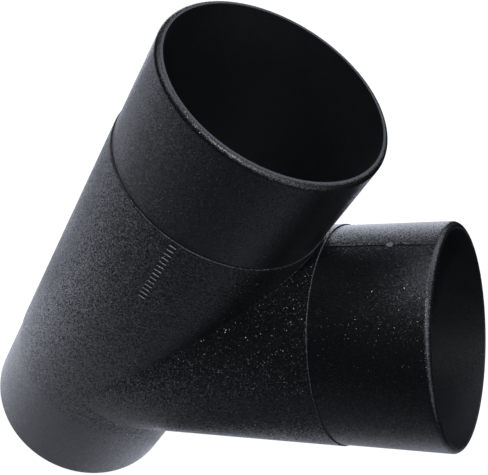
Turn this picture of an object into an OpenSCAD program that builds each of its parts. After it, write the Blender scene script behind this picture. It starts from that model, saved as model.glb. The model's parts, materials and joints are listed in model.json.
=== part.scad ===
// Equal 45 degree branch fitting for 100 mm dust and fume ducting.
// Origin at the centre of the lower mouth, +Z up along the run, branch leg towards +X.

/* [Mouths] */
// Outside diameter of the three cuffs, which a hose or a socket slides over
cuff_od = 100; // [60:1:200]
// Wall thickness of the cuffs
cuff_wall = 3; // [2.5:0.1:5]
// Length of each cuff, from its mouth to the collar line
cuff_length = 51; // [30:1:80]
// Radius of the rounded outer edge of each mouth
rim_radius = 1.8; // [0.5:0.1:2]

/* [Body] */
// Angle between the branch and the run
branch_angle = 45; // [30:1:90]
// Length of barrel left on the run between the crotch and the upper collar line
run_land = 5.5; // [4:0.5:60]
// Length of barrel left on the branch between the crotch and its collar line
branch_land = 2.5; // [2:0.5:60]
// Step from a cuff's surface out to the barrel's, all round at each collar line
collar_step = 0.6; // [0.3:0.1:1]
// Wall thickness of the two barrels
barrel_wall = 3; // [2.5:0.1:5]
// Length of the spigot by which a barrel plugs into a cuff
spigot_length = 6; // [3:0.5:10]

/* [Moulded details] */
// Number of raised bars in the row on the run barrel
tick_count = 14; // [4:1:20]
// Length of one bar, around the barrel
tick_length = 3.6; // [2:0.1:6]
// Width of one bar, along the barrel
tick_width = 1; // [0.5:0.1:1.5]
// Height of a bar above the barrel's surface
tick_height = 0.4; // [0.2:0.1:0.8]
// Distance from one bar to the next
tick_pitch = 2.7; // [2:0.1:4]
// Distance of the first bar below the upper collar line
tick_setback = 2.5; // [1:0.5:10]
// Diameter of the round moulding mark on the branch cuff
gate_diameter = 3; // [1:0.1:5]
// Height of that mark above the cuff's surface
gate_height = 0.2; // [0.1:0.05:0.5]
// Distance of that mark from the branch mouth
gate_setback = 21.5; // [8:0.5:24]

/* [Hidden] */
$fn = 96;

cuff_r = cuff_od / 2;
cuff_bore_r = cuff_r - cuff_wall;
barrel_r = cuff_r + collar_step;
barrel_bore_r = barrel_r - barrel_wall;
// The spigot takes the inner half of the wall, and the cuff's skirt the outer half.
spigot_r = (barrel_bore_r + cuff_r) / 2;

// Each mitre plane halves the angle between two legs. The crotch and the heel are where
// the planes reach the outside of the barrels, measured along a leg from the crossing.
crotch_mitre = branch_angle / 2;
heel_mitre = crotch_mitre + 90;
crotch_reach = barrel_r / tan(crotch_mitre);
heel_reach = barrel_r * tan(crotch_mitre);

// Rounded up to whole millimetres, so the heel falls just above the lower collar line
crossing_height = ceil(cuff_length + heel_reach);
upper_collar = ceil(crossing_height + crotch_reach + run_land);
branch_collar = ceil(crotch_reach + branch_land);
run_length = upper_collar + cuff_length;
branch_length = branch_collar + cuff_length;

wedge_reach = 2 * run_length;
barrel_colour = "#2b2c2d";
cuff_colour = "#36383a";

// Straight barrel between two heights, with a spigot past its upper end and, if asked, its lower.
module barrel_tube(from, to, lower_spigot) {
    rotate_extrude()
        difference() {
            union() {
                translate([0, from])
                    square([barrel_r, to - from]);
                square([spigot_r, to + spigot_length]);
                if (lower_spigot)
                    translate([0, from - spigot_length])
                        square([spigot_r, spigot_length]);
            }
            translate([0, from - spigot_length])
                square([barrel_bore_r, to - from + 2 * spigot_length]);
            if (lower_spigot)
                square([barrel_r, from - spigot_length]);
        }
}

// Cuff with its mouth at zero and its collar end above, counterbored for the barrel's spigot.
module cuff_sleeve() {
    rotate_extrude()
        difference() {
            translate([cuff_bore_r, 0])
                square([cuff_wall, cuff_length]);
            translate([0, cuff_length - spigot_length])
                square([spigot_r, spigot_length]);
            translate([cuff_r - rim_radius, 0])
                difference() {
                    square(rim_radius);
                    translate([0, rim_radius])
                        circle(rim_radius);
                }
        }
}

// Moves a piece drawn upright at the origin onto the branch axis.
module on_branch(distance) {
    translate([0, 0, crossing_height])
        rotate([0, branch_angle, 0])
            translate([0, 0, distance])
                children();
}

// Everything on the branch's side of both mitre planes.
module branch_side() {
    translate([0, barrel_r * 2, crossing_height])
        rotate([90, 0, 0])
            linear_extrude(barrel_r * 4)
                polygon([
                    [0, 0],
                    wedge_reach * [sin(crotch_mitre), cos(crotch_mitre)],
                    wedge_reach * 2 * [sin(branch_angle), cos(branch_angle)],
                    wedge_reach * [sin(heel_mitre), cos(heel_mitre)]
                ]);
}

module run_barrel() {
    color(barrel_colour)
        difference() {
            barrel_tube(cuff_length, upper_collar, true);
            branch_side();
        }
}

// The tube starts behind the crossing, so that both mitres cut it.
module branch_barrel() {
    color(barrel_colour)
        intersection() {
            on_branch(-barrel_r)
                barrel_tube(0, barrel_r + branch_collar, false);
            branch_side();
        }
}

module lower_cuff() {
    color(cuff_colour)
        cuff_sleeve();
}

module upper_cuff() {
    color(cuff_colour)
        translate([0, 0, run_length])
            rotate([180, 0, 0])
                cuff_sleeve();
}

module branch_cuff() {
    color(cuff_colour)
        on_branch(branch_length)
            rotate([180, 0, 0])
                cuff_sleeve();
}

// One bar that follows the barrel's curve, facing -Y, with its upper edge at the height given.
module tick(height) {
    half_angle = asin(tick_length / 2 / barrel_r);
    intersection() {
        rotate_extrude()
            translate([barrel_r, height - tick_width])
                square([tick_height, tick_width]);
        linear_extrude(height)
            polygon([
                [0, 0],
                2 * barrel_r * [-sin(half_angle), -cos(half_angle)],
                2 * barrel_r * [sin(half_angle), -cos(half_angle)]
            ]);
    }
}

module index_ticks() {
    color(barrel_colour)
        for (i = [0 : tick_count - 1])
            tick(upper_collar - tick_setback - i * tick_pitch);
}

// Round mark on the line where the branch cuff's mould halves meet, on the side of the crotch.
module gate_mark() {
    color(cuff_colour)
        on_branch(branch_length - gate_setback)
            rotate([0, -90, 0])
                translate([0, 0, cuff_r])
                    cylinder(d = gate_diameter, h = gate_height);
}

run_barrel();
branch_barrel();
lower_cuff();
upper_cuff();
branch_cuff();
index_ticks();
gate_mark();
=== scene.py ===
"""Equal 45 degree branch fitting for 100 mm ducting, moulded in black ABS.

Lengths are in metres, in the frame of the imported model: the origin is the centre of the
lower mouth, +Z runs up the straight run and the branch leaves towards +X.
"""

import json
import math

import bmesh
import bpy
from mathutils import Matrix, Vector


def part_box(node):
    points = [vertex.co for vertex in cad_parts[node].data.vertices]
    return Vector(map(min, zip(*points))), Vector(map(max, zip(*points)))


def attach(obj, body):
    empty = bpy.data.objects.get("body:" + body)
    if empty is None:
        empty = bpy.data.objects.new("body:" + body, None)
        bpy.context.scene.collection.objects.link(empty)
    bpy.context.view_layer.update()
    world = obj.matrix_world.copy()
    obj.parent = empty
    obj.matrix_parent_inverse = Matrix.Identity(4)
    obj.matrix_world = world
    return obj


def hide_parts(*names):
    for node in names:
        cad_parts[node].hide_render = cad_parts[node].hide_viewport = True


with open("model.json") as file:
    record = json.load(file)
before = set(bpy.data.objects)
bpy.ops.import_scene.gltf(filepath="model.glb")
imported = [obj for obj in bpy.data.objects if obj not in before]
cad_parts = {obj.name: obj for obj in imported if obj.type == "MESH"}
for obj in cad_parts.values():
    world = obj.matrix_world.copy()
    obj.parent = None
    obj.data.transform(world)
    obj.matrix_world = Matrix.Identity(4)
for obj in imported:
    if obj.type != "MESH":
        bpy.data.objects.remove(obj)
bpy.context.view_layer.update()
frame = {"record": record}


# ---------------------------------------------------------------------------
# The barrels. The two thick tubes in the middle of the moulding, the run and the branch
# leg, of one bore and mitred together. Black ABS, moulded in a spark eroded cavity, so
# the skin is coarse and matt, with a small fillet in the crease where the tubes meet.
# ---------------------------------------------------------------------------

MM = 0.001
TURN = 2 * math.pi
AROUND = 240
CREASE_FILLET = 0.35 * MM
BORE_ROUNDING = 0.8 * MM
SHOULDER_ROUNDING = 0.5 * MM
FLUSH = math.radians(6)
MERGE = 0.002 * MM
SHARP = math.radians(32)

mounts = {m["name"]: m for m in frame["record"]["mounts"]}
branch_mouth = Vector(mounts["branch_socket"]["pos_m"])
branch_axis = Vector(mounts["branch_socket"]["axis"]).normalized()
branch_angle = math.atan2(branch_axis.x, branch_axis.z)
crossing = branch_mouth - branch_axis * (branch_mouth.x / branch_axis.x)
branch_length = (branch_mouth - crossing).length
onto_branch = Matrix.Translation(crossing) @ Matrix.Rotation(branch_angle, 4, "Y")

run_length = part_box("upper_cuff")[1].z
cuff_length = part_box("lower_cuff")[1].z
cuff_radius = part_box("lower_cuff")[1].x
cuff_bore = mounts["lower_socket"]["dims"]["r_mm"] * MM
barrel_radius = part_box("run_barrel")[1].y
barrel_bore = barrel_radius - (cuff_radius - cuff_bore)
spigot_radius = (barrel_bore + cuff_radius) / 2
spigot_length = cuff_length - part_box("run_barrel")[0].z
upper_collar = run_length - cuff_length
branch_collar = branch_length - cuff_length

# Each mitre plane halves the angle between two legs, and passes through the crossing.
crotch_plane = Vector((math.cos(branch_angle / 2), 0, -math.sin(branch_angle / 2)))
heel_plane = Vector((math.sin(branch_angle / 2), 0, math.cos(branch_angle / 2)))


def rounded(corner, radius, start, steps=6):
    """Points of a quarter round in a profile, from the angle start, centred on corner."""
    angles = [start + i * TURN / 4 / steps for i in range(steps + 1)]
    return [(corner[0] + radius * math.cos(a), corner[1] + radius * math.sin(a)) for a in angles]


def turned(profile):
    """The bmesh that a closed profile of (radius, height) points sweeps round Z."""
    bm = bmesh.new()
    verts = [bm.verts.new((r, 0, z)) for r, z in profile]
    edges = [bm.edges.new(pair) for pair in zip(verts, verts[1:] + verts[:1])]
    bmesh.ops.spin(bm, geom=verts + edges, cent=(0, 0, 0), axis=(0, 0, 1),
                   angle=TURN, steps=AROUND, use_merge=True)
    bmesh.ops.remove_doubles(bm, verts=bm.verts, dist=MERGE)
    return bm


def on_branch_side(point):
    away = point - crossing
    return away.dot(crotch_plane) > 0 and away.dot(heel_plane) > 0


def mitred(bm, keep_branch_side):
    """Cuts a tube along both mitre planes and takes away its far part."""
    for plane in (crotch_plane, heel_plane):
        bmesh.ops.bisect_plane(bm, geom=bm.verts[:] + bm.edges[:] + bm.faces[:],
                               dist=MERGE, plane_co=crossing, plane_no=plane)
    far = [f for f in bm.faces if on_branch_side(f.calc_center_median()) != keep_branch_side]
    bmesh.ops.delete(bm, geom=far, context="FACES")


def joined(parts):
    """One bmesh of several, with what they share merged and every face turned outwards."""
    bm = bmesh.new()
    for part in parts:
        mesh = bpy.data.meshes.new("part")
        part.to_mesh(mesh)
        part.free()
        bm.from_mesh(mesh)
        bpy.data.meshes.remove(mesh)
    bmesh.ops.remove_doubles(bm, verts=bm.verts, dist=4 * MERGE)
    bmesh.ops.recalc_face_normals(bm, faces=bm.faces)
    return bm


def barrel_profile(low, high, low_spigot):
    """Closed profile of a barrel from one end to the other, with a spigot past its collars."""
    low_end = low - spigot_length if low_spigot else low
    line = [(barrel_bore, low_end)]
    if low_spigot:
        line += [(spigot_radius, low_end), (spigot_radius, low)]
        line += rounded((barrel_radius - SHOULDER_ROUNDING, low + SHOULDER_ROUNDING),
                        SHOULDER_ROUNDING, -TURN / 4)
    else:
        line.append((barrel_radius, low))
    line += rounded((barrel_radius - SHOULDER_ROUNDING, high - SHOULDER_ROUNDING),
                    SHOULDER_ROUNDING, 0)
    line += [(spigot_radius, high), (spigot_radius, high + spigot_length),
             (barrel_bore, high + spigot_length)]
    return line


def crease_edges(bm, nearest, furthest):
    """Edges along the mitre between two distances from the run's axis, but not where the
    crease runs out at the sides and the tubes lie almost flush."""
    found = []
    for edge in bm.edges:
        middle = (edge.verts[0].co + edge.verts[1].co) / 2
        sides = {on_branch_side(f.calc_center_median()) for f in edge.link_faces}
        if (len(sides) == 2 and nearest < math.hypot(middle.x, middle.y) < furthest
                and edge.calc_face_angle() > FLUSH):
            found.append(edge)
    return found


def barrels():
    """The run and branch barrels as one skin, with the crease filleted."""
    run = turned(barrel_profile(cuff_length, upper_collar, True))
    branch = turned(barrel_profile(-barrel_radius, branch_collar, False))
    bmesh.ops.transform(branch, matrix=onto_branch, verts=branch.verts)
    mitred(run, False)
    mitred(branch, True)
    bm = joined((run, branch))
    between = (barrel_bore + barrel_radius) / 2
    for nearest, furthest, offset in ((between, 2 * barrel_radius, CREASE_FILLET),
                                      (0, between, BORE_ROUNDING)):
        bmesh.ops.bevel(bm, geom=crease_edges(bm, nearest, furthest), offset=offset,
                        offset_type="OFFSET", affect="EDGES", segments=6, profile=0.5,
                        material=-1, clamp_overlap=False, loop_slide=True)
    return bm


def half_of_barrels(keep_branch_side):
    """One barrel of the two, closed along the mitre from its skin to its bore."""
    bm = barrels()
    far = [f for f in bm.faces if on_branch_side(f.calc_center_median()) != keep_branch_side]
    bmesh.ops.delete(bm, geom=far, context="FACES")
    bmesh.ops.bridge_loops(bm, edges=[e for e in bm.edges if e.is_boundary])
    bmesh.ops.dissolve_degenerate(bm, dist=MERGE, edges=bm.edges)
    bmesh.ops.recalc_face_normals(bm, faces=bm.faces)
    return bm


def add_piece(bm, name, material, nodes):
    """Makes a bmesh into a finished piece, which stands for its CAD nodes."""
    mesh = bpy.data.meshes.new(name)
    bm.to_mesh(mesh)
    bm.free()
    mesh.polygons.foreach_set("use_smooth", [True] * len(mesh.polygons))
    mesh.set_sharp_from_angle(angle=SHARP)
    mesh.materials.append(material)
    piece = bpy.data.objects.new(name, mesh)
    bpy.context.scene.collection.objects.link(piece)
    weighted = piece.modifiers.new("face_area_normals", "WEIGHTED_NORMAL")
    weighted.keep_sharp = True
    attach(piece, "root")
    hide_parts(*nodes)
    return piece


def line_bore(piece, leg, reach):
    """Gives the faces within reach of their own leg's axis the finish of the core."""
    piece.data.materials.append(core_abs)
    from_leg = leg.inverted()
    for face in piece.data.polygons:
        on_leg = from_leg @ face.center
        if math.hypot(on_leg.x, on_leg.y) < reach:
            face.material_index = 1


def linear(hex_colour):
    """An sRGB hex colour as linear red, green, blue and alpha."""
    channels = [int(hex_colour[i:i + 2], 16) / 255 for i in (1, 3, 5)]
    curve = [c / 12.92 if c <= 0.04045 else ((c + 0.055) / 1.055) ** 2.4 for c in channels]
    return (*curve, 1.0)


def add_node(tree, kind, settings=(), values=(), links=()):
    """Adds a node, with its settings, its input values and what is linked to its inputs."""
    node = tree.nodes.new(kind)
    for name, value in dict(settings).items():
        setattr(node, name, value)
    for name, value in dict(values).items():
        node.inputs[name].default_value = value
    for name, source in dict(links).items():
        tree.links.new(source, node.inputs[name])
    return node


# The swell under the facets has SWELL_SHARE of a wave to each. The cloud is the soft mottle in
# colour and polish. The two polishes are by how much the roughness varies with the cloud, and
# by how much it falls on a steep facet. The noise seldom leaves its span.
ABS_IOR = 1.54
SWELL_SHARE = 0.45
CLOUD_SIZE = 30 * MM
NOISE_LOW, NOISE_HIGH = 0.3, 0.7
CLOUD_POLISH = 0.03
STEEP_POLISH = 0.03


def moulded_abs(name, colour, bloom, roughness, facet, lean, steep, relief):
    """ABS as it leaves a textured cavity: a patchwork of crater walls, each facet metres wide.
    Most lean by about the slope lean, and a few by a good part of the slope steep. A swell of
    the height relief runs under them, and the colour clouds softly into the bloom."""
    material = bpy.data.materials.new(name)
    material.use_nodes = True
    tree = material.node_tree
    tree.nodes.clear()
    place = add_node(tree, "ShaderNodeTexCoord").outputs["Object"]
    swell = add_node(tree, "ShaderNodeTexNoise", {}, {"Scale": SWELL_SHARE / facet, "Detail": 2.0},
                     {"Vector": place})
    bump = add_node(tree, "ShaderNodeBump", {}, {"Strength": 1.0, "Distance": relief},
                    {"Height": swell.outputs["Fac"]})
    crater = add_node(tree, "ShaderNodeTexVoronoi", {}, {"Scale": 1 / facet}, {"Vector": place})
    way = add_node(tree, "ShaderNodeVectorMath", {"operation": "MULTIPLY_ADD"},
                   {1: (2, 2, 2), 2: (-1, -1, -1)}, {0: crater.outputs["Color"]})
    # The way runs from -1 to 1 on each axis, so its length to the fourth is 9 at the most.
    spread = add_node(tree, "ShaderNodeVectorMath", {"operation": "DOT_PRODUCT"}, {},
                      {0: way.outputs["Vector"], 1: way.outputs["Vector"]}).outputs["Value"]
    rare = add_node(tree, "ShaderNodeMath", {"operation": "MULTIPLY"}, {}, {0: spread, 1: spread})
    slope = add_node(tree, "ShaderNodeMath", {"operation": "MULTIPLY_ADD"},
                     {1: steep / 9, 2: lean}, {0: rare.outputs["Value"]})
    wall = add_node(tree, "ShaderNodeVectorMath", {"operation": "SCALE"}, {},
                    {0: way.outputs["Vector"], "Scale": slope.outputs["Value"]})
    facets = add_node(tree, "ShaderNodeVectorMath", {"operation": "ADD"}, {},
                      {0: wall.outputs["Vector"], 1: bump.outputs["Normal"]})
    normal = add_node(tree, "ShaderNodeVectorMath", {"operation": "NORMALIZE"}, {},
                      {0: facets.outputs["Vector"]})
    cloud = add_node(tree, "ShaderNodeTexNoise", {}, {"Scale": 1 / CLOUD_SIZE, "Detail": 3.0},
                     {"Vector": place})
    tint = add_node(tree, "ShaderNodeMix", {"data_type": "RGBA"}, {},
                    {"Factor": cloud.outputs["Fac"]})
    tint.inputs[6].default_value = linear(colour)
    tint.inputs[7].default_value = linear(bloom)
    polish = add_node(tree, "ShaderNodeMapRange", {},
                      {"From Min": NOISE_LOW, "From Max": NOISE_HIGH,
                       "To Min": roughness - CLOUD_POLISH, "To Max": roughness + CLOUD_POLISH},
                      {"Value": cloud.outputs["Fac"]})
    # A steep wall is smoother than a crater's floor, so it flashes where it catches a lamp.
    gloss = add_node(tree, "ShaderNodeMath", {"operation": "MULTIPLY_ADD"}, {1: -STEEP_POLISH},
                     {0: rare.outputs["Value"], 2: polish.outputs[0]})
    shader = add_node(tree, "ShaderNodeBsdfPrincipled", {}, {"IOR": ABS_IOR},
                      {"Base Color": tint.outputs[2], "Roughness": gloss.outputs["Value"],
                       "Normal": normal.outputs["Vector"]})
    add_node(tree, "ShaderNodeOutputMaterial", {}, {}, {"Surface": shader.outputs["BSDF"]})
    return material


# Spark eroded: shallow craters that break the light up into a dry grain, with a bright point
# here and there. Such craters are usually finer, and are drawn this wide so that they show.
eroded_abs = moulded_abs("eroded_black_abs", "#0d0e0e", "#131414", 0.37, 0.38 * MM, 0.18, 0.55,
                         0.02 * MM)
# The core that forms the bore is blasted, so the inside is dull.
core_abs = moulded_abs("dull_core_side_abs", "#111213", "#151617", 0.5, 0.4 * MM, 0.02, 0.1,
                       0.01 * MM)

run_barrel = add_piece(half_of_barrels(False), "run_barrel_moulding", eroded_abs,
                       ["run_barrel"])
branch_barrel = add_piece(half_of_barrels(True), "branch_barrel_moulding", eroded_abs,
                          ["branch_barrel"])
line_bore(run_barrel, Matrix.Identity(4), barrel_bore + BORE_ROUNDING / 2)
line_bore(branch_barrel, onto_branch, barrel_bore + BORE_ROUNDING / 2)


# ---------------------------------------------------------------------------
# The cuffs. The three ends that a hose or a socket slides over, a little slimmer than
# the barrels. The same ABS with a finer, smoother skin, and a mouth rounded on its
# outer edge by the mould. Each is counterbored for its barrel's spigot.
# ---------------------------------------------------------------------------

RIM_ROUNDING = 2.4 * MM
BORE_EDGE = 0.35 * MM
BORE_TAPER = 12 * MM

# The bore opens a little over its last stretch, to meet the barrel's without a step.
cuff_profile = [(barrel_bore, cuff_length - spigot_length),
                (cuff_bore, cuff_length - spigot_length - BORE_TAPER)]
cuff_profile += rounded((cuff_bore + BORE_EDGE, BORE_EDGE), BORE_EDGE, TURN / 2, 4)
cuff_profile += rounded((cuff_radius - RIM_ROUNDING, RIM_ROUNDING), RIM_ROUNDING, -TURN / 4, 10)
cuff_profile += [(cuff_radius, cuff_length), (spigot_radius, cuff_length),
                 (spigot_radius, cuff_length - spigot_length)]

# Fine grained: the same plastic off a lightly blasted cavity, satin and smooth to touch. Its
# grain too is drawn wider than is usual, so that it shows.
fine_abs = moulded_abs("fine_grained_black_abs", "#0d0e0e", "#131415", 0.36, 0.25 * MM, 0.1, 0.35,
                       0.006 * MM)

facing_down = Matrix.Rotation(TURN / 2, 4, "X")
onto_run_top = Matrix.Translation((0, 0, run_length)) @ facing_down
onto_branch_end = onto_branch @ Matrix.Translation((0, 0, branch_length)) @ facing_down

cuffs = {}
for node, place in (("lower_cuff", Matrix.Identity(4)), ("upper_cuff", onto_run_top),
                    ("branch_cuff", onto_branch_end)):
    cuff = turned(cuff_profile)
    bmesh.ops.transform(cuff, matrix=place, verts=cuff.verts)
    bmesh.ops.recalc_face_normals(cuff, faces=cuff.faces)
    cuffs[node] = add_piece(cuff, node + "_moulding", fine_abs, [node])
    line_bore(cuffs[node], place, barrel_bore)


# ---------------------------------------------------------------------------
# The index ticks. A row of low bars that the cavity leaves on the run barrel, one under
# the other below the upper collar. Raised in the barrel's own plastic, with sharp chamfers
# and the cuffs' finer skin.
# ---------------------------------------------------------------------------

TICK_COUNT = 14
TICK_WIDTH = 1 * MM
TICK_ROOT = 0.6 * MM
TICK_CHAMFER = 0.36 * MM
CHAMFER_SLOPE = 0.73
TICK_INSET = 0.02 * MM

tick_low, tick_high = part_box("index_ticks")
tick_pitch = (tick_high.z - tick_low.z - TICK_WIDTH) / (TICK_COUNT - 1)
# The bars stand a hair less proud than the CAD's, to stay inside its box.
tick_face = -tick_low.y - TICK_INSET

ticks = []
for i in range(TICK_COUNT):
    tick = bmesh.new()
    bmesh.ops.create_cube(tick, size=1)
    size = Vector((tick_high.x - tick_low.x, tick_face - barrel_radius + TICK_ROOT,
                   TICK_WIDTH / CHAMFER_SLOPE))
    bmesh.ops.scale(tick, vec=size, verts=tick.verts)
    bmesh.ops.bevel(tick, geom=tick.edges, offset=TICK_CHAMFER, offset_type="OFFSET",
                    affect="EDGES", segments=1, profile=0.5, material=-1)
    bmesh.ops.scale(tick, vec=(1, 1, CHAMFER_SLOPE), verts=tick.verts)
    centre = Vector((0, size.y / 2 - tick_face, tick_high.z - TICK_WIDTH / 2 - i * tick_pitch))
    bmesh.ops.translate(tick, vec=centre, verts=tick.verts)
    ticks.append(tick)
add_piece(joined(ticks), "index_ticks_moulding", fine_abs, ["index_ticks"])


# ---------------------------------------------------------------------------
# The gate mark. Where the plastic was let into the cavity: a low round scar and two slivers
# of torn, whitened ABS on the branch cuff, on the line where the mould's halves met, and
# the hair of flash along that line in the cuff's own fine grained ABS.
# ---------------------------------------------------------------------------

FLASH_WIDTH = 0.45 * MM
FLASH_HEIGHT = 0.18 * MM
SCAR_ROUNDING = 0.2 * MM
SCAR_DEPTH = 0.4 * MM

gate_low, gate_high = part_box("gate_mark")
gate_centre = (gate_low + gate_high) / 2
gate_reach = (gate_centre - crossing).dot(branch_axis)
scar_radius = (gate_high.y - gate_low.y) / 2

scar = bmesh.new()
bmesh.ops.create_cone(scar, cap_ends=True, segments=40, radius1=scar_radius,
                      radius2=scar_radius, depth=SCAR_DEPTH)
bmesh.ops.bevel(scar, geom=[e for e in scar.edges if all(v.co.z > 0 for v in e.verts)],
                offset=SCAR_ROUNDING, offset_type="OFFSET", affect="EDGES", segments=4,
                profile=0.5, material=-1)
bmesh.ops.translate(scar, vec=(0, 0, cuff_radius), verts=scar.verts)
onto_gate = onto_branch @ Matrix.Translation((0, 0, gate_reach)) @ Matrix.Rotation(-TURN / 4, 4, "Y")
bmesh.ops.transform(scar, matrix=onto_gate, verts=scar.verts)

flash = bmesh.new()
bmesh.ops.create_cone(flash, cap_ends=True, segments=12, radius1=FLASH_WIDTH / 2,
                      radius2=FLASH_WIDTH / 2, depth=cuff_length - RIM_ROUNDING)
bmesh.ops.scale(flash, vec=(2 * FLASH_HEIGHT / FLASH_WIDTH, 1, 1), verts=flash.verts)
bmesh.ops.translate(flash, vec=(-cuff_radius, 0, branch_collar + (cuff_length - RIM_ROUNDING) / 2),
                    verts=flash.verts)
bmesh.ops.transform(flash, matrix=onto_branch, verts=flash.verts)

# Two slivers of flash stand off the line on the mouth side of the scar. Each has its place
# along and beside the line, and its slant in degrees.
SLIVER_LENGTH = 2.6 * MM
SLIVER_BASE = 0.28 * MM
SLIVER_TIP = 0.08 * MM
slivers = []
for along, aside, slant in ((5 * MM, 1.6 * MM, -35), (7.5 * MM, 0.6 * MM, 20)):
    sliver = bmesh.new()
    bmesh.ops.create_cone(sliver, cap_ends=True, segments=8, radius1=SLIVER_BASE,
                          radius2=SLIVER_TIP, depth=SLIVER_LENGTH)
    bmesh.ops.rotate(sliver, matrix=Matrix.Rotation(TURN / 4, 3, "Y"), verts=sliver.verts)
    bmesh.ops.rotate(sliver, matrix=Matrix.Rotation(math.radians(slant), 3, "Z"),
                     verts=sliver.verts)
    bmesh.ops.translate(sliver, vec=(along, aside, cuff_radius), verts=sliver.verts)
    bmesh.ops.transform(sliver, matrix=onto_gate, verts=sliver.verts)
    slivers.append(sliver)

# Torn: the plastic whitens where it is pulled from the gate, so it is paler and dull.
torn_abs = moulded_abs("torn_whitened_abs", "#4a4c4e", "#6c6e70", 0.5, 0.25 * MM, 0.1, 0.35,
                       0.01 * MM)
for torn in (scar, *slivers):
    for face in torn.faces:
        face.material_index = 1
gate_mark = add_piece(joined((scar, flash, *slivers)), "gate_mark_moulding", fine_abs,
                      ["gate_mark"])
gate_mark.data.materials.append(torn_abs)


# ---------------------------------------------------------------------------
# The studio. A pale floor that glows by itself, so it stays even, under a plain white
# backdrop. Soft boxes and the table's own glow light the object, with one small lamp.
# ---------------------------------------------------------------------------

FLOOR_RADIUS = 40
PAPER_GREY = 0.1
PAPER_GLOW = 0.98

# Matt paper, whose brightness is nearly all its own glow.
pale = bpy.data.materials.new("pale_studio_paper")
pale.use_nodes = True
pale_shader = pale.node_tree.nodes["Principled BSDF"]
pale_shader.inputs["Base Color"].default_value = (PAPER_GREY, PAPER_GREY, PAPER_GREY, 1)
pale_shader.inputs["Roughness"].default_value = 1
pale_shader.inputs["Emission Color"].default_value = (1, 1, 1, 1)
pale_shader.inputs["Emission Strength"].default_value = PAPER_GLOW

floor_bm = bmesh.new()
bmesh.ops.create_circle(floor_bm, cap_ends=True, segments=96, radius=FLOOR_RADIUS)
floor_mesh = bpy.data.meshes.new("floor")
floor_bm.to_mesh(floor_mesh)
floor_bm.free()
floor_mesh.materials.append(pale)
floor = bpy.data.objects.new("floor", floor_mesh)
bpy.context.scene.collection.objects.link(floor)
# The camera alone sees it: the table glows below stand for the light it throws back.
floor.visible_glossy = False
floor.visible_diffuse = False
floor.visible_shadow = False

world = bpy.data.worlds.new("studio")
bpy.context.scene.world = world
world.use_nodes = True
world.node_tree.nodes["Background"].inputs["Color"].default_value = (1, 1, 1, 1)
world.node_tree.nodes["Background"].inputs["Strength"].default_value = 1.0
# It is only the plain backdrop, and the soft boxes do the lighting.
world.cycles_visibility.diffuse = False
world.cycles_visibility.glossy = False

COOL_WHITE = "#eaf0ff"


def add_soft_light(name, bearing, height, width, brightness):
    """A round soft box far off. Its bearing (0 faces the run's -Y side, -90 its -X side),
    height above the floor and width are in degrees, and the floor's brightness is 1."""
    light = bpy.data.lights.new(name, "SUN")
    light.color = linear(COOL_WHITE)[:3]
    light.angle = math.radians(width)
    light.energy = brightness * math.pi * math.sin(light.angle / 2) ** 2
    box = bpy.data.objects.new(name, light)
    box.matrix_world = (Matrix.Rotation(math.radians(bearing), 4, "Z")
                        @ Matrix.Rotation(TURN / 4 - math.radians(height), 4, "X"))
    bpy.context.scene.collection.objects.link(box)


# One box over the front, one on each side and two behind, of which one shines from below.
add_soft_light("front_box", 25, 60, 40, 4)
add_soft_light("left_box", -100, 40, 40, 3)
add_soft_light("right_box", 60, 20, 30, 2.5)
add_soft_light("back_box", 180, 50, 60, 2)
add_soft_light("low_back_box", -165, -20, 40, 2.2)

# The pale table around, which the back boxes light, so it glows most at the back.
GLOW_COUNT = 8
GLOW_HEIGHT = -50
GLOW_WIDTH = 45
GLOW = 0.45
GLOW_SWING = 0.8
GLOW_BRIGHTEST = -165
for i in range(GLOW_COUNT):
    bearing = i * 360 / GLOW_COUNT
    towards = math.cos(math.radians(bearing - GLOW_BRIGHTEST))
    add_soft_light(f"table_glow_{i}", bearing, GLOW_HEIGHT, GLOW_WIDTH,
                   GLOW * (1 + GLOW_SWING * towards))

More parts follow.
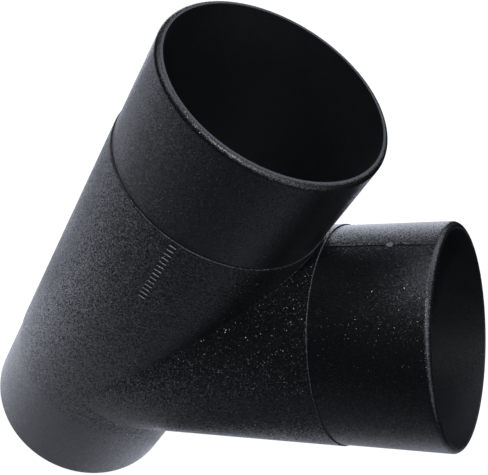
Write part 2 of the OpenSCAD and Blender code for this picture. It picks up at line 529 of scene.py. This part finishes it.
# The table close to the lower mouth, in front and to the left, lights the lower cuff from
# below. The object shades the rest.
PATCH_RADIUS = 90 * MM
PATCH_BRIGHTNESS = 0.5
PATCH_PLACE = Vector((-30, -40, -1)) * MM
patch_data = bpy.data.lights.new("table_patch", "AREA")
patch_data.shape = "DISK"
patch_data.size = 2 * PATCH_RADIUS
patch_data.color = linear(COOL_WHITE)[:3]
patch_data.energy = PATCH_BRIGHTNESS * math.pi ** 2 * PATCH_RADIUS ** 2
patch = bpy.data.objects.new("table_patch", patch_data)
patch.matrix_world = Matrix.Translation(PATCH_PLACE) @ Matrix.Rotation(TURN / 2, 4, "X")
bpy.context.scene.collection.objects.link(patch)

# A small bare lamp close by, which picks out the rims, the collars and the crater edges.
LAMP_BEARING, LAMP_HEIGHT = (math.radians(a) for a in (-25, 62))
LAMP_DISTANCE = 450 * MM
LAMP_TARGET = Vector((23, 0, 170)) * MM
LAMP_RADIUS = 10 * MM
LAMP_POWER = 2
lamp_data = bpy.data.lights.new("bare_lamp", "POINT")
lamp_data.energy = LAMP_POWER
lamp_data.shadow_soft_size = LAMP_RADIUS
bare_lamp = bpy.data.objects.new("bare_lamp", lamp_data)
out_along = Vector((math.sin(LAMP_BEARING), -math.cos(LAMP_BEARING), 0)) * math.cos(LAMP_HEIGHT)
lamp_way = out_along + Vector((0, 0, math.sin(LAMP_HEIGHT)))
bare_lamp.location = LAMP_TARGET + lamp_way * LAMP_DISTANCE
bpy.context.scene.collection.objects.link(bare_lamp)

# The camera looks down on the fitting's -Y side, and is rolled so that the run leans over.
AIM = Vector((22.8, 0, 174.2)) * MM
DISTANCE = 391 * MM
AZIMUTH, ELEVATION, ROLL = (math.radians(a) for a in (-2.8, 43.6, 35.3))
SENSOR_WIDTH = 36
LENS = 64.6
camera_data = bpy.data.cameras.new("camera")
camera_data.sensor_width = SENSOR_WIDTH
camera_data.lens = LENS
camera = bpy.data.objects.new("camera", camera_data)
bpy.context.scene.collection.objects.link(camera)
turn_to_view = (Matrix.Rotation(AZIMUTH, 4, "Z") @ Matrix.Rotation(TURN / 4 - ELEVATION, 4, "X")
                @ Matrix.Rotation(ROLL, 4, "Z"))
camera.matrix_world = (Matrix.Translation(AIM) @ turn_to_view
                       @ Matrix.Translation((0, 0, DISTANCE)))
bpy.context.scene.camera = camera
bpy.context.scene.view_settings.view_transform = "Standard"
